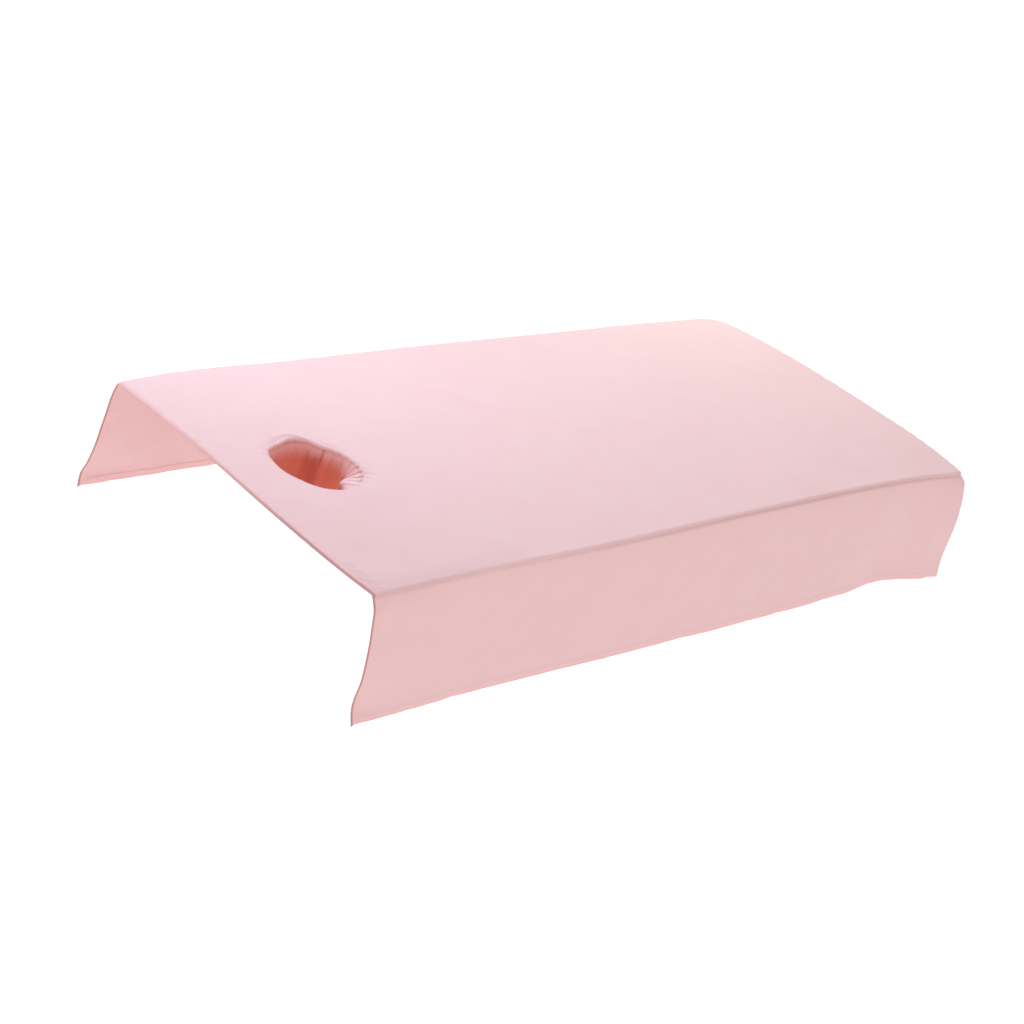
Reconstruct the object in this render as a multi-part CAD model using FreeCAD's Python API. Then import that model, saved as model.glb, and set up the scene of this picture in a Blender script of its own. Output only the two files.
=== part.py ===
import FreeCAD, Part
import math
import os

# A fitted cover for a massage table: a flat top panel with a face opening near the head end, and three
# hanging drops sewn to its right, left and foot edges. The head end has no drop.
# Millimetres. +X points to the foot end, +Y to the left side, +Z up. The origin is the middle of the
# top panel's underside, which lies on the table.

# Finished sizes, seam to seam
TOP_LENGTH = 1900.0
TOP_WIDTH = 800.0
SEAM_DEPTH = 6.0  # the top panel turns down over the table's edge to seams this far below its underside
DROP_LENGTH = 250.0  # from the seam to the hem, along the cloth
HEM_WIDTH = 15.0
ALLOWANCE_WIDTH = 12.0  # the seams' cut edges, folded flat under the top panel
RIM_HEM_WIDTH = 8.0  # the turned-in edge round the face opening
SPLAY = 8.0  # degrees that the drops stand out from the vertical

# Face opening, measured across the finished rim
HOLE_FROM_HEAD = 217.0  # head hem to the middle of the opening
HOLE_LENGTH = 160.0
HOLE_WIDTH = 180.0
SLEEVE_DEPTH = 100.0
SLEEVE_TAPER = 12.0  # how much the radius shrinks from the casing to the sleeve's hem
CASING_DEPTH = 11.0
ELASTIC_WIDTH = 8.0
ELASTIC_THICKNESS = 1.0

# Cloth and thread
CLOTH = 1.0  # a stiff stand-in: the real cloth is about a third of this
HEM_EXTRA = 0.8  # the extra layers of a hem, a rim or a seam allowance, on the underside
THREAD_WIDTH = 0.8
THREAD_THICKNESS = 0.3
OVERLOCK_WIDTH = 5.0
CLEARANCE = 0.1  # between pieces that move past each other
THREAD_CLEARANCE = 0.15  # between a curved thread and the curved cloth behind it
CORNER_CLEARANCE = 0.5  # at the open foot corners

AXIS_Z = -SEAM_DEPTH  # the drops hinge on the seams
HALF_LENGTH = TOP_LENGTH / 2
HALF_WIDTH = TOP_WIDTH / 2
HOLE_X = HOLE_FROM_HEAD - HALF_LENGTH
HOLE_RX = HOLE_LENGTH / 2
HOLE_RY = HOLE_WIDTH / 2
SLEEVE_TOP = -HEM_EXTRA  # the sleeve hangs from the underside of the rim


def block(low, high):
    """A box between two corners."""
    size = [b - a for a, b in zip(low, high)]
    return Part.makeBox(*size, FreeCAD.Vector(*low))


def ellipse(grow, z):
    """The rim's ellipse, larger by grow all round, as a closed wire at height z."""
    centre = FreeCAD.Vector(HOLE_X, 0, z)
    long_end = centre + FreeCAD.Vector(0, HOLE_RY + grow, 0)
    short_end = centre - FreeCAD.Vector(HOLE_RX + grow, 0, 0)
    return Part.Wire(Part.Ellipse(long_end, short_end, centre).toShape())


def ellipse_block(grow, top, bottom, grow_bottom=None):
    """A solid between two of the rim's ellipses, straight or tapered."""
    lower = grow if grow_bottom is None else grow_bottom
    return Part.makeLoft([ellipse(grow, top), ellipse(lower, bottom)], True, True)


def ellipse_band(inner, outer, top, bottom):
    """A ring with straight walls that follows the rim."""
    return ellipse_block(outer, top, bottom).cut(ellipse_block(inner, top, bottom))


def top_panel():
    """A shallow tray upside down: flat, with edges turned down to the three seams. Its border is thicker
    underneath, as a hem at the head end and as seam allowances at the other edges, and so is the rim."""
    bottom = AXIS_Z + CLEARANCE
    tray = block((-HALF_LENGTH, -HALF_WIDTH, bottom), (HALF_LENGTH, HALF_WIDTH, CLOTH))
    foot = HALF_LENGTH - CLOTH
    side = HALF_WIDTH - CLOTH
    hollow = block((-HALF_LENGTH, -side, bottom), (foot, side, -HEM_EXTRA))
    field_low = (HEM_WIDTH - HALF_LENGTH, ALLOWANCE_WIDTH - side, -HEM_EXTRA)
    field = block(field_low, (foot - ALLOWANCE_WIDTH, side - ALLOWANCE_WIDTH, 0))
    rim = ellipse_block(RIM_HEM_WIDTH, 0, -HEM_EXTRA)
    hole = ellipse_block(0, 2 * CLOTH, -2 * CLOTH)
    return tray.cut(hollow).cut(field).fuse(rim).cut(hole).removeSplitter()


def face_hole_sleeve():
    """A tapered tube under the rim, with a casing round its top that holds the elastic."""
    channel_in = CLOTH
    channel_out = 3 * CLOTH
    casing = ellipse_block(channel_out + CLOTH, SLEEVE_TOP, -CASING_DEPTH)
    tube = ellipse_block(CLOTH, -CASING_DEPTH, -SLEEVE_DEPTH, CLOTH - SLEEVE_TAPER)
    bore_top = ellipse_block(0, SLEEVE_TOP, -CASING_DEPTH)
    bore = ellipse_block(0, -CASING_DEPTH, -SLEEVE_DEPTH, -SLEEVE_TAPER)
    channel = ellipse_band(channel_in, channel_out, SLEEVE_TOP, CLOTH - CASING_DEPTH)
    return casing.fuse(tube).cut(bore_top).cut(bore).cut(channel)


def face_hole_elastic():
    inner = 2 * CLOTH - ELASTIC_THICKNESS / 2
    top = SLEEVE_TOP - CLOTH / 2
    return ellipse_band(inner, inner + ELASTIC_THICKNESS, top, top - ELASTIC_WIDTH)


def face_hole_rim_thread():
    inner = 6 * CLOTH
    return ellipse_band(inner, inner + THREAD_WIDTH, CLOTH + THREAD_THICKNESS, CLOTH)


def sleeve_wall_at(z):
    """How far the sleeve's outer face is from the rim's ellipse, at height z below the casing."""
    return CLOTH - SLEEVE_TAPER * (-z - CASING_DEPTH) / (SLEEVE_DEPTH - CASING_DEPTH)


def sleeve_hem_thread():
    top = HEM_WIDTH - SLEEVE_DEPTH
    inner = sleeve_wall_at(top) + THREAD_CLEARANCE
    return ellipse_band(inner, inner + THREAD_THICKNESS, top, top - THREAD_WIDTH)


def sleeve_side_thread():
    """The line of stitches that closes the sleeve into a tube, down its foot side."""
    top = -CASING_DEPTH - CLOTH
    bottom = HEM_WIDTH - SLEEVE_DEPTH + THREAD_WIDTH
    corners = []
    for z, outward in ((top, 0), (top, 1), (bottom, 1), (bottom, 0)):
        x = HOLE_X + HOLE_RX + sleeve_wall_at(z) + THREAD_CLEARANCE + outward * THREAD_THICKNESS
        corners.append(FreeCAD.Vector(x, -THREAD_WIDTH / 2, z))
    face = Part.Face(Part.makePolygon(corners + corners[:1]))
    return face.extrude(FreeCAD.Vector(0, THREAD_WIDTH, 0))


def head_hem_thread():
    x = HEM_WIDTH - HALF_LENGTH
    end = HALF_WIDTH - HEM_WIDTH
    return block((x, -end, CLOTH), (x + THREAD_WIDTH, end, CLOTH + THREAD_THICKNESS))


# Each edge is made along +X at y = 0, with its outside towards -Y, and then turned and moved into place.
SIDE_START = -HALF_LENGTH
SIDE_END = HALF_LENGTH - CLOTH - CORNER_CLEARANCE
FOOT_END = HALF_WIDTH - CLOTH - CORNER_CLEARANCE
EDGES = {
    "right": {"turn": 0, "at": (0, -HALF_WIDTH), "span": (SIDE_START, SIDE_END)},
    "left": {"turn": 180, "at": (0, HALF_WIDTH), "span": (-SIDE_END, -SIDE_START)},
    "foot": {"turn": 90, "at": (HALF_LENGTH, 0), "span": (-FOOT_END, FOOT_END)},
}


def placed(shape, edge, hanging):
    """Moves a piece from the edge's own frame to its seam. A hanging piece is splayed about the seam first."""
    if hanging:
        shape.rotate(FreeCAD.Vector(0, 0, 0), FreeCAD.Vector(1, 0, 0), -SPLAY)
        shape.translate(FreeCAD.Vector(0, 0, AXIS_Z))
    shape.rotate(FreeCAD.Vector(0, 0, 0), FreeCAD.Vector(0, 0, 1), edge["turn"])
    shape.translate(FreeCAD.Vector(*edge["at"], 0))
    return shape


def drop_panel(edge):
    """A flap with a hem on its three free edges. Its outer face passes through the hinge line."""
    start, end = edge["span"]
    sheet = block((start, 0, -DROP_LENGTH), (end, CLOTH, 0))
    bottom = block((start, CLOTH, -DROP_LENGTH), (end, CLOTH + HEM_EXTRA, HEM_WIDTH - DROP_LENGTH))
    hem_top = -HEM_WIDTH
    first = block((start, CLOTH, -DROP_LENGTH), (start + HEM_WIDTH, CLOTH + HEM_EXTRA, hem_top))
    last = block((end - HEM_WIDTH, CLOTH, -DROP_LENGTH), (end, CLOTH + HEM_EXTRA, hem_top))
    return placed(sheet.multiFuse([bottom, first, last]).removeSplitter(), edge, True)


def bottom_hem_thread(edge):
    start, end = edge["span"]
    low = HEM_WIDTH - DROP_LENGTH
    strip = block((start + HEM_WIDTH, -THREAD_THICKNESS, low), (end - HEM_WIDTH, 0, low + THREAD_WIDTH))
    return placed(strip, edge, True)


def end_hem_thread(edge, at_start):
    start, end = edge["span"]
    x = start + HEM_WIDTH if at_start else end - HEM_WIDTH - THREAD_WIDTH
    low = HEM_WIDTH - DROP_LENGTH + 2 * THREAD_WIDTH
    strip = block((x, -THREAD_THICKNESS, low), (x + THREAD_WIDTH, 0, -HEM_WIDTH))
    return placed(strip, edge, True)


def seam_thread(edge):
    """The stitches that join a drop to the top panel, on the inside of the seam."""
    start, end = edge["span"]
    y = CLOTH + THREAD_WIDTH
    low = -HEM_EXTRA - THREAD_THICKNESS
    strip = block((start + HEM_WIDTH, y, low), (end - HEM_WIDTH, y + THREAD_WIDTH, -HEM_EXTRA))
    return placed(strip, edge, False)


def seam_overlock(edge):
    """The thread that binds the cut edges of the seam allowance, folded flat under the top panel."""
    start, end = edge["span"]
    y = CLOTH + ALLOWANCE_WIDTH - OVERLOCK_WIDTH
    low = -HEM_EXTRA - 2 * THREAD_THICKNESS
    strip = block((start + HEM_WIDTH, y, low), (end - HEM_WIDTH, y + OVERLOCK_WIDTH, -HEM_EXTRA))
    return placed(strip, edge, False)


def nodes():
    """Every sub-part, by the name of its node."""
    found = {
        "top_panel": top_panel(),
        "face_hole_sleeve": face_hole_sleeve(),
        "face_hole_elastic": face_hole_elastic(),
        "face_hole_rim_thread": face_hole_rim_thread(),
        "sleeve_hem_thread": sleeve_hem_thread(),
        "sleeve_side_thread": sleeve_side_thread(),
        "head_hem_thread": head_hem_thread(),
    }
    # the two ends of each drop, by what lies there
    ends = {"right": ("head", "foot"), "left": ("foot", "head"), "foot": ("right", "left")}
    for name, edge in EDGES.items():
        found[f"{name}_seam_thread"] = seam_thread(edge)
        found[f"{name}_seam_overlock"] = seam_overlock(edge)
        found[f"{name}_drop_panel"] = drop_panel(edge)
        found[f"{name}_drop_hem_thread"] = bottom_hem_thread(edge)
        for at_start, end_name in zip((True, False), ends[name]):
            found[f"{name}_drop_{end_name}_hem_thread"] = end_hem_thread(edge, at_start)
    return found


os.makedirs("parts", exist_ok=True)
for node, shape in nodes().items():
    shape.exportStep(f"parts/{node}.step")
    print(f"{node}: {len(shape.Solids)} solid, {shape.Volume:.1f} mm3, valid {shape.isValid()}")
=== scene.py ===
import math

import bpy
import numpy as np
from mathutils import Matrix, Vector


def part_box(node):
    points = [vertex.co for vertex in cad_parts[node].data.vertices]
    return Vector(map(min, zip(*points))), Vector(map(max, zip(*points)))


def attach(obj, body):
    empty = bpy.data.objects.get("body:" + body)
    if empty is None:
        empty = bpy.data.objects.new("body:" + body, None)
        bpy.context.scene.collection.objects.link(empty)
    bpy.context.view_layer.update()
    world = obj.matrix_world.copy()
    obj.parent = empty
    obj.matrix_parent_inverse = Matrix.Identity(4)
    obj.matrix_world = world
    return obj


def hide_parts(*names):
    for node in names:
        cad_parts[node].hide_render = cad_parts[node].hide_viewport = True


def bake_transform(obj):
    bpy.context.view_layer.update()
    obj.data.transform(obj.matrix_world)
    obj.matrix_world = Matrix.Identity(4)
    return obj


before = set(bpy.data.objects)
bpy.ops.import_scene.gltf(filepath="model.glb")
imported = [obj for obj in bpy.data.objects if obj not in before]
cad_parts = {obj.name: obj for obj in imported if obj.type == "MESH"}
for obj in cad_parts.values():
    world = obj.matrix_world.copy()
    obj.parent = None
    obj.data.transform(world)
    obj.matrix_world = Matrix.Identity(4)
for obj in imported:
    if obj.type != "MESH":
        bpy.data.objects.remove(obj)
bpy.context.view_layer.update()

# A fitted pink cotton cover for a massage table, in metres, in the CAD model's frame: +X to the foot end,
# +Y to the left side, +Z up, and the table's top at z = 0. Every surface is a function of two parameters,
# so that the cloth, its hems and the stitches on it are all taken from the same shape.

MM = 0.001
PANEL_LOW, PANEL_HIGH = (np.array(corner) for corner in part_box("top_panel"))
HALF_LENGTH, HALF_WIDTH = PANEL_HIGH[0], PANEL_HIGH[1]
DROP_LENGTH = 250 * MM
HEM = 15 * MM  # hems' finished width
ALLOWANCE = 12 * MM  # the seams' cut edges, folded under the top panel
CLOTH = 0.6 * MM
HEM_CLOTH = 1.8 * MM  # three layers
STITCH = 3 * MM
STITCH_GAP = 0.7 * MM
THREAD = 0.45 * MM
SIDES = 5  # of a thread's section

# The opening. Its finished rim sits nearer the head end than the CAD model's, and to the left of it.
RIM_LOW, RIM_HIGH = (np.array(corner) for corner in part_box("face_hole_rim_thread"))
RIM_SHIFT = np.array([-10, 16.5]) * MM
HOLE = (RIM_LOW + RIM_HIGH)[:2] / 2 + RIM_SHIFT
RIM = np.array([87, 94.5]) * MM  # radii along x and y
MEAN_RIM = RIM.mean()
RIM_ROLL = 4 * MM  # radius of the cloth's turn over the rim
RIM_SAG = 3.2 * MM
GATHERS = 56  # fine gathers all round

# Angles round the opening, in degrees from the foot end towards the left side.
SHELF_ANGLE = -46  # the right end, where the sleeve comes in almost flat before it goes down
LEFT_END = 150
PLEAT_ANGLE = 52  # the sleeve's one deep pleat
SHELF = 35 * MM
SHELF_LIFT = 20 * MM

# How far gathers and pleats move the cloth, outwards and upwards.
GATHER_OUT = 1.1 * MM
GATHER_UP = 1.0 * MM
PLEAT_OUT = 3.2 * MM
PLEAT_UP = 2.6 * MM

# The top's edges turn over the table's edge in an arc of this length, down to the seams.
ARC_LENGTH = 12 * MM
ARC_TURN = math.radians(75)
ARC_RADIUS = ARC_LENGTH / ARC_TURN
EASE = 60 * MM  # over this distance the cloth gives the arc its length
TUCK = 0.6 * MM  # the seam's groove
TUCK_WIDTH = 3 * MM

END_INSET = 4 * MM  # stitch rows stop this far from a panel's ends


# --- numbers ---

def step(low, high, x):
    """0 before low, 1 after high, smooth between. low may be the larger one."""
    t = np.clip((x - low) / (high - low), 0, 1)
    return t * t * (3 - 2 * t)


def bump(x, centre, width):
    return np.exp(-(((x - centre) / width) ** 2))


def through(x, knots):
    """A smooth curve through a few (position, value) pairs."""
    at, value = np.array(knots, float).T
    slope = np.gradient(value, at)
    i = np.clip(np.searchsorted(at, x) - 1, 0, len(at) - 2)
    gap = at[i + 1] - at[i]
    t = np.clip((x - at[i]) / gap, 0, 1)
    return (
        (2 * t**3 - 3 * t**2 + 1) * value[i]
        + (t**3 - 2 * t**2 + t) * gap * slope[i]
        + (3 * t**2 - 2 * t**3) * value[i + 1]
        + (t**3 - t**2) * gap * slope[i + 1]
    )


def ripple(x, y, length, seed, stretch=1.0):
    """Soft unevenness of about unit height, with waves of about this length, longer along x by stretch."""
    rng = np.random.default_rng(seed)
    waves = 14
    total = 0
    for _ in range(waves):
        angle = rng.uniform(0, math.pi)
        k = 2 * math.pi / (length * rng.uniform(0.7, 1.6))
        along = x * math.cos(angle) / stretch + y * math.sin(angle)
        total = total + np.sin(k * along + rng.uniform(0, 2 * math.pi))
    return total / math.sqrt(waves / 2)


def folds(theta, count, seed, spread=1.3):
    """Uneven folds round the opening, from about -0.7 in narrow creases to 1 on round ridges."""
    rng = np.random.default_rng(seed)
    phase, size = count * theta, 0.75
    for k in (2, 3, 5, 8):
        phase = phase + spread * rng.uniform(0.4, 1) * np.sin(k * theta + rng.uniform(0, 2 * math.pi))
        size = size + 0.12 * np.sin(k * theta + rng.uniform(0, 2 * math.pi))
    return size * (2 * np.sqrt(np.sin(phase / 2) ** 2 + 0.02) - 1)


# --- the top panel ---

CROWN_BASE = -4 * MM
CROWN_REACH = 0.7  # an end's shape fades out over this length

# each edge's height along it, above CROWN_BASE: (metres along, millimetres high)
RIGHT_EDGE = [(-0.95, 0), (-0.6, 6), (-0.3, 6), (0.2, 11), (0.65, 12), (0.87, 4), (0.95, 0)]
LEFT_EDGE = [
    (-0.95, 0), (-0.86, 7), (-0.5, 8), (-0.2, 10), (0.3, 8), (0.75, 4), (0.88, 0), (0.95, -9),
]
HEAD_EDGE = [(-0.4, 0), (-0.33, -3), (-0.1, -3), (0.1, 3), (0.33, 3), (0.4, 0)]
FOOT_EDGE = [(-0.4, 0), (-0.3, 11), (-0.1, 15), (0.05, 14), (0.2, 8), (0.3, 1), (0.4, -9)]


def crown(x, y):
    """The height of the padded table under the cover: its edges' heights, carried across between them."""
    v = (y + HALF_WIDTH) / (2 * HALF_WIDTH)

    def across(at):
        return (1 - v) * through(at, RIGHT_EDGE) + v * through(at, LEFT_EDGE)

    height = across(x)
    for end, edge in ((-HALF_LENGTH, HEAD_EDGE), (HALF_LENGTH, FOOT_EDGE)):
        share = np.clip(1 - np.abs(x - end) / CROWN_REACH, 0, 1) ** 3
        height = height + share * (through(y, edge) - across(end))
    return height * MM + CROWN_BASE


def valleys(height):
    """How deep in a valley between folds the cloth is, 0 on the ridges."""
    return np.clip(-height, 0, 1)


def around(theta, centre, width):
    """A bump over an angle, wrapping round; centre and width in degrees."""
    turn = np.mod(theta - math.radians(centre) + math.pi, 2 * math.pi) - math.pi
    return bump(turn, 0, math.radians(width))


# where the rim leaves its ellipse: (angle, width, share of the radius)
RIM_BULGES = [(142, 18, 0.07), (40, 20, -0.10), (-155, 20, -0.06), (108, 15, -0.055), (66, 12, 0.03)]


def rim_point(theta, scale=1.0):
    """A point on the rim. It isn't quite an ellipse: drawn out at its left end, and mostly in elsewhere."""
    reach = 1
    for centre, width, share in RIM_BULGES:
        reach = reach + share * around(theta, centre, width)
    reach = reach * scale
    return HOLE[0] + RIM[0] * reach * np.cos(theta), HOLE[1] + RIM[1] * reach * np.sin(theta)


def rim_polar(x, y):
    """The angle round the opening, and the distance outwards from its rim."""
    dx, dy = (x - HOLE[0]) / RIM[0], (y - HOLE[1]) / RIM[1]
    theta = np.arctan2(dy, dx)
    rx, ry = rim_point(theta)
    reach = np.hypot((rx - HOLE[0]) / RIM[0], (ry - HOLE[1]) / RIM[1])
    return theta, (np.hypot(dx, dy) - reach) * MEAN_RIM


def rim_gathers(theta):
    """Gathers round the rim: strong on the left side and at the left end, and faint elsewhere."""
    size = 0.35 + 1.5 * around(theta, 105, 38) + 0.2 * around(theta, -42, 34)
    size = size + 0.8 * around(theta, LEFT_END, 22)
    return size * folds(theta, GATHERS, 3, 0.9)


def end_pleats(theta):
    """Deep pleats: five or six at the opening's right end, and three at its left end."""
    right = 1.15 * around(theta, -36, 42) * folds(theta, 31, 6, 0.5)
    return right + 1.1 * around(theta, 148, 20) * folds(theta, 26, 9, 0.5)


def arc(distance):
    """How an edge turns down: (sideways move, drop) for cloth at this distance from the seam."""
    turn = np.clip(1 - distance / ARC_LENGTH, 0, 1) * ARC_TURN
    ease = np.clip((EASE - distance) / (EASE - ARC_LENGTH), 0, 1) ** 2
    outward = np.where(
        distance < ARC_LENGTH,
        distance - ARC_RADIUS * (1 - np.sin(turn)),
        (ARC_LENGTH - ARC_RADIUS) * ease,
    )
    return outward, ARC_RADIUS * (1 - np.cos(turn))


def tuck(distance):
    return TUCK * np.clip(1 - distance / TUCK_WIDTH, 0, 1) ** 2


def corner(a, b, size):
    """1 at a corner, down to 0 at this distance from it along either edge."""
    return np.clip(1 - a / size, 0, 1) ** 2 * np.clip(1 - b / size, 0, 1) ** 2


def panel(x, y):
    """The top panel's upper face. x and y run over the finished panel, laid flat."""
    x, y = np.broadcast_arrays(np.asarray(x, float), np.asarray(y, float))
    side = HALF_WIDTH - np.abs(y)
    foot = HALF_LENGTH - x
    head = x + HALF_LENGTH
    out_y, down_y = arc(side)
    out_x, down_x = arc(foot)
    z = PANEL_HIGH[2] + crown(x, y) - np.hypot(down_y, down_x)

    # the plan bows inwards a little along the right side, and its foot corners are round
    bow = step(-0.35, 0.25, x) * step(0.93, 0.75, x) * step(0.0, -0.4, y) * 5 * MM
    right_corner = 5 * MM * corner(foot, HALF_WIDTH + y, 22 * MM)
    left_corner = 14 * MM * corner(foot, HALF_WIDTH - y, 80 * MM)
    px = x + out_x - tuck(foot) * 0.8 - right_corner - left_corner
    py = y + np.sign(y) * (out_y - tuck(side)) + bow + right_corner - left_corner

    # the head hem: a low ridge with a stitched groove, puckered, and with creases near the right corner
    inside = step(0, 30 * MM, side)
    ridge = 1.1 * step(17 * MM, 13 * MM, head) - 0.5 * bump(head, 13.5 * MM, 1.6 * MM)
    pucker = 0.5 * ripple(y, head, 22 * MM, 11) * bump(head, 14 * MM, 9 * MM)
    creases = 2.6 * ripple(y + 0.5 * head, head, 34 * MM, 12, 0.8) * bump(head, 20 * MM, 24 * MM)
    creases = creases * step(-0.24, -0.38, y) * step(0, 14 * MM, head)
    z = z + (ridge + (pucker + creases) * inside) * MM
    z = z - 3 * MM * step(16 * MM, 0, head) ** 2

    # the sides: slight puckers along the seams, and soft unevenness all over
    seam = np.minimum(side, foot)
    z = z + 0.3 * MM * ripple(x + y, x - y, 30 * MM, 13) * bump(seam, 9 * MM, 8 * MM)
    calm = step(0, 0.05, side) * step(0, 0.05, foot) * step(0, 0.03, head)
    z = z + calm * (0.7 * ripple(x, y, 0.26, 14, 1.5) + 0.28 * ripple(x, y, 0.09, 15, 1.3)) * MM

    # round the opening the cloth sags, radiates in pleats, and rolls over the rim
    theta, off = rim_polar(x, y)
    off = np.maximum(off, 0)
    gathers, pleats = rim_gathers(theta), end_pleats(theta)
    sag = RIM_SAG * np.exp(-off / (17 * MM))
    rays = 0.8 * MM * folds(theta, 15, 5) * np.exp(-off / (20 * MM)) * step(0, 9 * MM, off)
    ridges = GATHER_UP * gathers * np.exp(-off / (7 * MM)) + PLEAT_UP * pleats * np.exp(-off / (13 * MM))
    hollow = 2.2 * MM * around(theta, 112, 20) * bump(off, 9 * MM, 6 * MM)
    hollow = hollow + 1.6 * MM * around(theta, 28, 26) * bump(off, 8 * MM, 6 * MM)
    # a fold that leaves the rim at 62 degrees, and is farther from it the farther round it runs
    away = 17 * MM * np.clip((theta - math.radians(62)) / math.radians(42), 0, 1)
    fold = 2.8 * MM * bump(off, 2 * MM + away, 3.5 * MM) * around(theta, 84, 17)
    roll = RIM_ROLL * (1 - np.sqrt(1 - np.clip(1 - off / RIM_ROLL, 0, 1) ** 2))
    z = z + rays + ridges + fold - hollow - sag - roll
    shift = (GATHER_OUT * gathers + 2.4 * MM * pleats) * np.exp(-off / (5 * MM))
    return np.stack([px + shift * np.cos(theta), py + shift * np.sin(theta), z], -1)


def seam_shade(s):
    """How dark a side seam's groove looks along its length."""
    return through(
        s, [(-0.95, 0.25), (-0.6, 0.3), (-0.3, 0.75), (0.0, 1), (0.7, 1), (0.85, 0.7), (0.95, 0.3)],
    )


def panel_painted_shade(x, y):
    """Painted shade on the panel: in the seams' grooves, over the top near the head end's right corner,
    along the head hem's edge, in the pleats' and gathers' valleys and in the hollows round the rim.
    """
    side, head = HALF_WIDTH - np.abs(y), x + HALF_LENGTH
    seam = np.minimum(side, HALF_LENGTH - x)
    seam_painted_shade = (0.14 * step(14 * MM, 3 * MM, seam) + 0.34 * step(5 * MM, 0.5 * MM, seam)) * seam_shade(x)
    # painted shade over the top near the head end's right corner
    seam_painted_shade = seam_painted_shade + 0.15 * step(60 * MM, 6 * MM, side) * step(-0.5, -0.8, x) * step(0, -0.3, y)
    theta, off = rim_polar(x, y)
    # painted shade in the valleys of the pleats and of the gathers
    pleats = 0.55 * valleys(end_pleats(theta)) * np.exp(-np.maximum(off, 0) / (12 * MM))
    gather_painted_shade = 0.4 * valleys(rim_gathers(theta)) * step(8 * MM, 3 * MM, off)
    # painted shade in the hollows just outside the rim
    border = 0.10 * bump(off, 9 * MM, 4 * MM) * around(theta, -140, 60)
    border = border + 0.2 * bump(off, 11 * MM, 6 * MM) * around(theta, 110, 26)
    border = border + 0.14 * bump(off, 9 * MM, 6 * MM) * around(theta, 32, 18)
    # painted shade along the head hem's edge, which turns from the light, darker on the right side
    edge = (0.25 + 0.75 * step(0.3, -0.2, y)) * step(6.5 * MM, 4.2 * MM, head)
    return np.maximum.reduce([seam_painted_shade, pleats, edge, gather_painted_shade, border])


def panel_cloth(x, y):
    """The top panel's thickness, more at the head hem, the seams and the rim, and its edges' tint."""
    seam = np.minimum(HALF_WIDTH - np.abs(y), HALF_LENGTH - x)
    _, off = rim_polar(x, y)
    layers = np.maximum.reduce([
        step(HEM + 1 * MM, HEM - 0.5 * MM, x + HALF_LENGTH),
        step(ALLOWANCE + 1 * MM, ALLOWANCE - 0.5 * MM, seam) * step(0, 2 * MM, seam),
        0.5 * step(8.5 * MM, 7 * MM, off),
    ])
    tint = np.maximum(0.5 * step(14 * MM, 8 * MM, x + HALF_LENGTH), 0.2 * step(5 * MM, 1 * MM, off))
    return CLOTH + (HEM_CLOTH - CLOTH) * layers, tint


def rim_wall(theta, down):
    """The rim's cloth below its roll, down into the opening."""
    at = panel(*rim_point(theta))
    at[..., 2] -= down
    return at


# --- the drops ---

# How far each drop stands out from its seam, at a depth d below it.

def right_drop_lean(x, d):
    middle = 0.152 * d + 4 * MM * (1 - np.exp(-d / (20 * MM)))
    head_end = through(
        d, [(0, 0), (0.016, 9), (0.05, 18), (0.1, 27), (0.15, 34), (0.225, 34), (0.25, 43)],
    ) * MM
    foot_end = through(
        d, [(0, 0), (0.013, 14), (0.041, 27), (0.08, 36), (0.13, 40), (0.2, 39), (0.25, 46)],
    ) * MM
    lean = middle + (head_end - middle) * np.exp(-(x + HALF_LENGTH) / 0.10)
    lean = lean + (foot_end - lean) * np.exp(-(HALF_LENGTH - x) / 0.06)
    low = step(0.03, 0.25, d)
    lean = lean - 17 * MM * bump(x, 0.72, 0.11) * low + 6 * MM * bump(x, 0.89, 0.05) * low
    lean = lean - 6 * MM * bump(x, 0.905, 0.018) * step(0.08, 0.22, d)
    return lean


def left_drop_lean(x, d):
    middle = 0.118 * d
    head_end = through(
        d, [(0, 0), (0.03, 7), (0.09, 13), (0.15, 20), (0.19, 30), (0.222, 41), (0.25, 39)],
    ) * MM
    return middle + (head_end - middle) * np.exp(-(x + HALF_LENGTH) / 0.09)


def foot_drop_lean(y, d):
    return 0.135 * d + 4 * MM * bump(y, -0.12, 0.09) * step(0, 0.25, d)


# How much lower than its cut length each drop's hem hangs, where the top's cloth has slipped over the edge.

def right_drop_extra(x):
    return MM * through(
        x, [(-0.95, 2.4), (-0.3, 2.7), (-0.1, 7), (0.1, 11), (0.4, 11.5), (0.55, 9), (0.7, 6), (0.95, 6.4)],
    )


def left_drop_extra(x):
    return 8 * MM * step(-0.3, -0.8, x)


def foot_drop_extra(y):
    return 0 * y


EDGES = {
    "right": {"out": (0, -1, 0), "lean": right_drop_lean, "extra": right_drop_extra, "seed": 31},
    "left": {"out": (0, 1, 0), "lean": left_drop_lean, "extra": left_drop_extra, "seed": 32},
    "foot": {"out": (1, 0, 0), "lean": foot_drop_lean, "extra": foot_drop_extra, "seed": 33},
}
for name, edge in EDGES.items():
    low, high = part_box(f"{name}_drop_panel")
    edge["span"] = (low[1], high[1]) if name == "foot" else (low[0], high[0])


def by_edge(name, s, inwards):
    """(x, y) on the flat top panel, s along a seam and this distance inwards from it."""
    if name == "foot":
        return HALF_LENGTH - inwards, s
    return s, (HALF_WIDTH - inwards) * (-1 if name == "right" else 1)


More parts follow.
